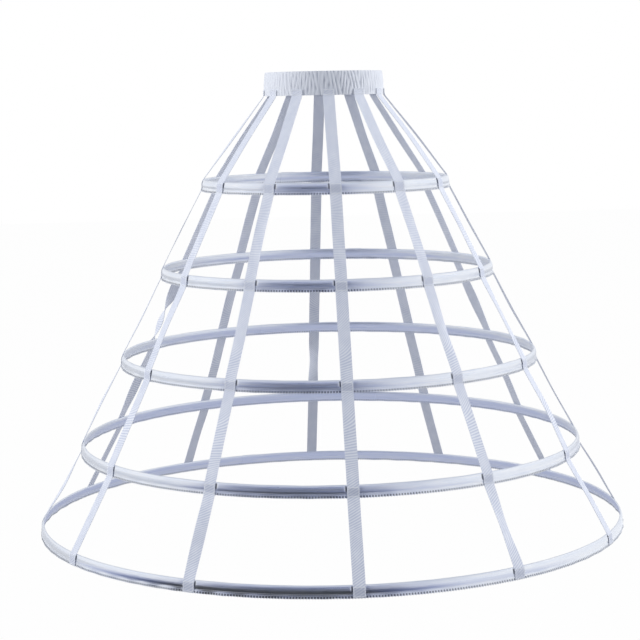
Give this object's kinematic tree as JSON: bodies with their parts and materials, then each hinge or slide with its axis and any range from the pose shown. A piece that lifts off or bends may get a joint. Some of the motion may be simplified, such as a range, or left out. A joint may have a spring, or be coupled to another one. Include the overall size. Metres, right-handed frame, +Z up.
{
  "type": "crinoline cage",
  "caption": "Cone-shaped crinoline cage: ribbon-cased sprung hoops, widening to the hem, hung by woven tapes from a gathered elastic waistband.",
  "frame": {"origin": "centre of the hem hoop, on the plane that the hem stands on", "axes": "+Z up the cage's axis, the front faces -Y, and +X is to the wearer's left"},
  "size_m": [1.1576, 1.1576, 0.8917],
  "materials": {
    "waist_cloth": "soft gathered cotton",
    "elastic": "woven elastic",
    "satin_ribbon": "satin",
    "bone": "white coated spring steel",
    "joiner": "crimped sheet",
    "tape": "ribbed woven tape"
  },
  "bodies": {
    "root": {"waistband_casing": "waist_cloth", "waistband_elastic": "elastic", "hoop_1_casing": "satin_ribbon", "hoop_2_casing": "satin_ribbon", "hoop_3_casing": "satin_ribbon", "hoop_4_casing": "satin_ribbon", "hoop_5_casing": "satin_ribbon", "hoop_1_bone": "bone", "hoop_2_bone": "bone", "hoop_3_bone": "bone", "hoop_4_bone": "bone", "hoop_5_bone": "bone", "hoop_1_joiner": "joiner", "hoop_2_joiner": "joiner", "hoop_3_joiner": "joiner", "hoop_4_joiner": "joiner", "hoop_5_joiner": "joiner", "tape_01": "tape", "tape_02": "tape", "tape_03": "tape", "tape_04": "tape", "tape_05": "tape", "tape_06": "tape", "tape_07": "tape", "tape_08": "tape", "tape_09": "tape", "tape_10": "tape", "tape_11": "tape", "tape_12": "tape"}
  },
  "joints": []
}
